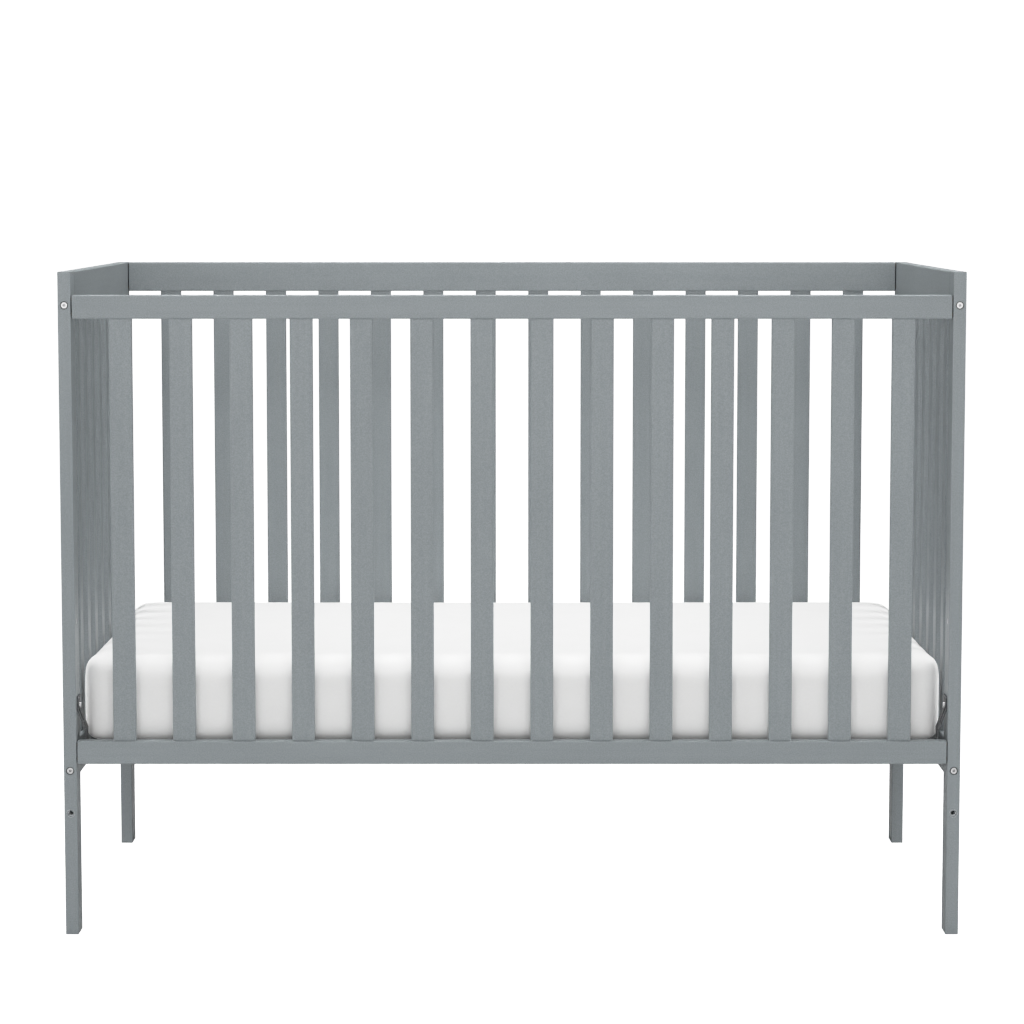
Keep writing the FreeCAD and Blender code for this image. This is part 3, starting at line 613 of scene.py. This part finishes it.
def widen_corners(points, half, small, large):
    """Upright corners whose radius in plan is small, turned into corners of radius large.

    Seen from above, a corner is a square of side large. A point's step from that square's
    inner corner is scaled by large over the distance at which the same direction meets the
    small-radius outline, which is a straight side or the arc about (large - small) in X and Y.
    """
    core = np.clip(points[:, :2], large - half[:2], half[:2] - large)
    step = points[:, :2] - core
    length = np.linalg.norm(step, axis=1)
    heading = np.abs(step) / np.maximum(length, TINY)[:, None]
    centre = large - small
    along = heading.sum(axis=1) * centre
    to_arc = along + np.sqrt(np.maximum(along ** 2 - 2 * centre ** 2 + small ** 2, 0.0))
    to_side = large / np.maximum(heading.max(axis=1), TINY)
    on_side = heading.min(axis=1) * to_side <= centre
    outline = np.where(on_side, to_side, to_arc)
    share = np.where(length > 0, large / np.maximum(outline, TINY), 1.0)
    moved = points.copy()
    moved[:, :2] = core + step * share[:, None]
    return moved


def quad_mesh(name, points, quads, maps=None):
    """A smooth mesh object from arrays, with an optional UV map of one pair per corner."""
    mesh = bpy.data.meshes.new(name)
    mesh.from_pydata(points.tolist(), [], quads.tolist())
    if maps is not None:
        layer = mesh.uv_layers.new(name=COVER_MAP)
        layer.data.foreach_set("uv", maps.astype(np.float32).ravel())
    mesh.polygons.foreach_set("use_smooth", np.ones(len(quads), dtype=bool))
    mesh.update()
    made = bpy.data.objects.new(name, mesh)
    bpy.context.scene.collection.objects.link(made)
    return made


def read_points(mesh):
    """A mesh's vertices as an array of N by 3."""
    flat = np.empty(len(mesh.vertices) * 3)
    mesh.vertices.foreach_get("co", flat)
    return flat.reshape(-1, 3)


def inflate(pad, still):
    """Fills the pad by cloth simulation and returns where its points end.

    still marks the points that stay, which are those that rest on the support. The others
    are held to their places by MATTRESS_HOLD, as a cover is by the foam inside it.
    """
    group = pad.vertex_groups.new(name="held")
    group.add(np.flatnonzero(still).tolist(), 1.0, "REPLACE")
    group.add(np.flatnonzero(~still).tolist(), MATTRESS_HOLD, "REPLACE")
    cloth = pad.modifiers.new("filling", "CLOTH")
    cloth.settings.use_pressure = True
    cloth.settings.uniform_pressure_force = MATTRESS_PRESSURE
    cloth.settings.effector_weights.gravity = 0.0
    cloth.settings.vertex_group_mass = group.name
    cloth.settings.pin_stiffness = 1.0
    cloth.settings.quality = MATTRESS_STEPS
    cloth.settings.tension_stiffness = MATTRESS_STRETCH
    cloth.settings.compression_stiffness = MATTRESS_STRETCH
    cloth.settings.bending_stiffness = MATTRESS_BEND
    scene = bpy.context.scene
    for step in range(1, MATTRESS_FRAMES + 1):
        scene.frame_set(step)
    filled = pad.evaluated_get(bpy.context.evaluated_depsgraph_get())
    points = read_points(filled.data)
    pad.modifiers.remove(cloth)
    pad.vertex_groups.remove(group)
    scene.frame_set(1)
    return points


def make_mattress(cover):
    """The mattress: a rounded box filled by cloth simulation, flat where it rests."""
    low, high = (np.array(corner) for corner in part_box("mattress"))
    middle = (low + high) / 2
    half = (high - low) / 2 - MATTRESS_START_IN
    points, quads, maps = box_grid(half, MATTRESS_CELL)
    radius = np.where(points[:, 2] > 0.0, MATTRESS_TOP_R, MATTRESS_FOOT_R)
    points = round_edges(points, half, radius[:, None])
    points = widen_corners(points, half, radius, MATTRESS_CORNER_R)
    points += middle
    points[:, 2] += low[2] - points[:, 2].min()
    pad = quad_mesh("mattress_pad", points, quads, maps)
    start = points
    still = start[:, 2] < low[2] + REST_BAND
    moved = inflate(pad, still) - start
    most = np.array([END_BULGE, SIDE_BULGE, TOP_CROWN])
    points = start + most * np.tanh(moved / most)
    pad.data.vertices.foreach_set("co", points.astype(np.float32).ravel())
    pad.data.update()
    pad.data.materials.append(cover)
    finer = pad.modifiers.new("finer", "SUBSURF")
    finer.levels = 1
    finer.render_levels = 1
    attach(pad, "mattress")
    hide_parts("mattress")
    return pad


# ==== spot welds ==========================================================================

def rod_axes(node, axis):
    """Where a node's parallel rods lie along one axis: the middle of each run of values."""
    values = np.sort(read_points(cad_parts[node].data)[:, axis])
    breaks = np.flatnonzero(np.diff(values) > ROD_APART) + 1
    return np.array([(run[0] + run[-1]) / 2 for run in np.split(values, breaks)])


def nub_grid(places, across, tall):
    """Points, quads and triangles of flattened ellipsoids, one at each place.

    At latitude b and longitude a, a nub's surface is (across cos b cos a, across cos b sin a,
    tall sin b). Quads join its rings of WELD_SEGMENTS points, and triangles join the first
    and last rings to a point at each pole.
    """
    turn = np.arange(WELD_SEGMENTS) * 2 * math.pi / WELD_SEGMENTS
    rise = (np.arange(1, WELD_RINGS) / WELD_RINGS - 0.5) * math.pi
    a, b = np.meshgrid(turn, rise)
    x = across * np.cos(b) * np.cos(a)
    y = across * np.cos(b) * np.sin(a)
    rings = np.stack([x, y, tall * np.sin(b)], axis=-1).reshape(-1, 3)
    poles = np.array([[0.0, 0.0, -tall], [0.0, 0.0, tall]])
    shape = np.concatenate([rings, poles])
    ring = np.arange(a.size).reshape(a.shape)
    beside = np.roll(ring, -1, axis=1)
    sides = np.stack([ring[:-1], beside[:-1], beside[1:], ring[1:]], axis=-1).reshape(-1, 4)
    foot = np.stack([np.full(WELD_SEGMENTS, a.size), beside[0], ring[0]], axis=-1)
    top = np.stack([np.full(WELD_SEGMENTS, a.size + 1), ring[-1], beside[-1]], axis=-1)
    first_point = np.arange(len(places))[:, None, None] * len(shape)
    quads = (first_point + sides).reshape(-1, 4)
    triangles = (first_point + np.concatenate([foot, top])).reshape(-1, 3)
    points = (places[:, None, :] + shape).reshape(-1, 3)
    return points, quads, triangles


def make_welds(coating):
    """A flat nub of weld metal at every crossing of the support's wires."""
    long_y = rod_axes("support_long_wires", 1)
    cross_x = rod_axes("support_cross_wires", 0)
    seam_z = (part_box("support_cross_wires")[0][2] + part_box("support_long_wires")[1][2]) / 2
    x, y = np.meshgrid(cross_x, long_y)
    places = np.stack([x.ravel(), y.ravel(), np.full(x.size, seam_z)], axis=-1)
    points, quads, triangles = nub_grid(places, WELD_R, WELD_TALL)
    faces = quads.tolist() + triangles.tolist()
    mesh = bpy.data.meshes.new("wire_welds")
    mesh.from_pydata(points.tolist(), [], faces)
    mesh.polygons.foreach_set("use_smooth", np.ones(len(faces), dtype=bool))
    mesh.materials.append(coating)
    welds = bpy.data.objects.new("wire_welds", mesh)
    bpy.context.scene.collection.objects.link(welds)
    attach(welds, "mattress_support")


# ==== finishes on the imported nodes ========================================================

def finish_nodes(finishes):
    """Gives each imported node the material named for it."""
    for node, material in finishes.items():
        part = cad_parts[node]
        part.data.materials.clear()
        part.data.materials.append(material)


def wood_direction(node):
    """Which way a wooden piece's grain runs: along its longest side."""
    if "slat" in node or "post" in node:
        return "upright"
    return "crosswise" if node.startswith(("left", "right")) else "lengthwise"


def dress_frame(coat, grain, edge, shade, plate, powder):
    """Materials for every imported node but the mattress."""
    paints = {way: make_frame_paint("frame_paint_" + way, turn, coat, grain, edge, shade)
              for way, turn in GRAIN_TURN.items()}
    wooden = [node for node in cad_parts
              if node.split("_")[-1] in ("post", "rail", "slats") or "_slat_" in node]
    finishes = {node: paints[wood_direction(node)] for node in wooden}
    beech = make_beech(grain, shade)
    bright = make_zinc("bright_zinc", ZINC_DEEP, ZINC_PALE, ZINC_ROUGH, plate, edge, shade)
    grey = make_zinc("hanger_zinc", HANGER_DEEP, HANGER_PALE, HANGER_ROUGH, plate, edge, shade)
    finishes["rail_dowels"] = beech
    finishes["end_rail_dowels"] = beech
    for node in ("frame_bolts", "barrel_nuts", "hanger_bolts", "hanger_inserts"):
        finishes[node] = bright
    finishes["leg_inserts"] = make_insert_paint(coat, edge, shade)
    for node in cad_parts:
        if node.startswith("support_") or node == "hanger_rivets":
            finishes[node] = powder
    finishes["support_hangers"] = grey
    finish_nodes(finishes)


# ==== floor, light and camera =============================================================

def make_floor():
    """A plain pale floor: its glow keeps it white, and it sends a little light back up."""
    points = np.array([[-1, -1, 0], [1, -1, 0], [1, 1, 0], [-1, 1, 0]]) * FLOOR_HALF
    floor = quad_mesh("floor", points, np.array([[0, 1, 2, 3]]))
    material, tree, shader = new_material(
        "floor_paper", Base_Color=(FLOOR_TONE, FLOOR_TONE, FLOOR_TONE, 1.0), Roughness=1.0,
        Specular_IOR_Level=0.0
    )
    seen = add_node(tree, "ShaderNodeLightPath")
    glow = math_node(tree, "MULTIPLY", seen.outputs["Is Camera Ray"], FLOOR_GLOW)
    shader.inputs["Emission Color"].default_value = (1.0, 1.0, 1.0, 1.0)
    join(tree, glow, shader.inputs["Emission Strength"])
    floor.data.materials.append(material)


def make_sky():
    """White all round to the eye; as light, only a little at the horizon."""
    world = bpy.data.worlds.new("studio")
    world.use_nodes = True
    bpy.context.scene.world = world
    tree = world.node_tree
    surface = tree.nodes["Background"]
    heading = add_node(tree, "ShaderNodeTexCoord")
    parts = add_node(tree, "ShaderNodeSeparateXYZ")
    join(tree, heading.outputs["Generated"], parts.inputs["Vector"])
    light = remap(tree, parts.outputs["Z"], 0.0, 1.0, SKY_LOW, SKY_HIGH)
    seen = add_node(tree, "ShaderNodeLightPath")
    strength = add_node(tree, "ShaderNodeMix", data_type="FLOAT")
    join(tree, seen.outputs["Is Camera Ray"], strength.inputs[0])
    join(tree, light, strength.inputs[2])
    strength.inputs[3].default_value = SKY_GLOW
    join(tree, strength.outputs[0], surface.inputs["Strength"])
    surface.inputs["Color"].default_value = (1.0, 1.0, 1.0, 1.0)


def aimed(place, target):
    """The turn that points a lamp or camera at place towards target."""
    away = Vector(target) - Vector(place)
    return away.to_track_quat("-Z", "Y").to_euler()


def make_softboxes():
    """Large soft panels in front, above, behind and on both sides."""
    for name, (place, size, watts, target, spread) in SOFTBOXES.items():
        lamp = bpy.data.lights.new(name, "AREA")
        lamp.shape = "RECTANGLE"
        lamp.size, lamp.size_y = size
        lamp.energy = watts
        lamp.spread = spread
        box = bpy.data.objects.new(name, lamp)
        box.location = place
        box.rotation_euler = aimed(place, target)
        box.visible_camera = False
        bpy.context.scene.collection.objects.link(box)


def set_tones():
    """Plain display colours along TONE_CURVE, so that the white cover keeps its shape."""
    view = bpy.context.scene.view_settings
    view.view_transform = "Standard"
    view.use_curve_mapping = True
    mapping = view.curve_mapping
    mapping.use_clip = False
    points = mapping.curves[ALL_CHANNELS].points
    points[0].location = TONE_CURVE[0]
    points[1].location = TONE_CURVE[-1]
    for place in TONE_CURVE[1:-1]:
        points.new(*place)
    mapping.update()


def make_camera():
    """The camera, in front of the crib, a little above its top and looking slightly down."""
    data = bpy.data.cameras.new("camera")
    data.sensor_width = SENSOR_WIDE
    data.lens = CAMERA_LENS
    camera = bpy.data.objects.new("camera", data)
    camera.location = CAMERA_PLACE
    camera.rotation_euler = (CAMERA_TILT, 0.0, 0.0)
    bpy.context.scene.collection.objects.link(camera)
    bpy.context.scene.camera = camera


make_camera()
set_tones()
make_sky()
make_softboxes()
make_floor()

sprayed_coat = make_sprayed_coat()
timber_grain = make_timber_grain()
worn_edge = make_worn_edge()
gap_shade_mask = make_gap_shade_mask()
plating = make_plating()
plain_weave = make_plain_weave()
powder_coat = make_powder_coat(sprayed_coat, worn_edge)

dress_frame(sprayed_coat, timber_grain, worn_edge, gap_shade_mask, plating, powder_coat)
make_welds(powder_coat)
make_mattress(make_mattress_cover(plain_weave, sprayed_coat))
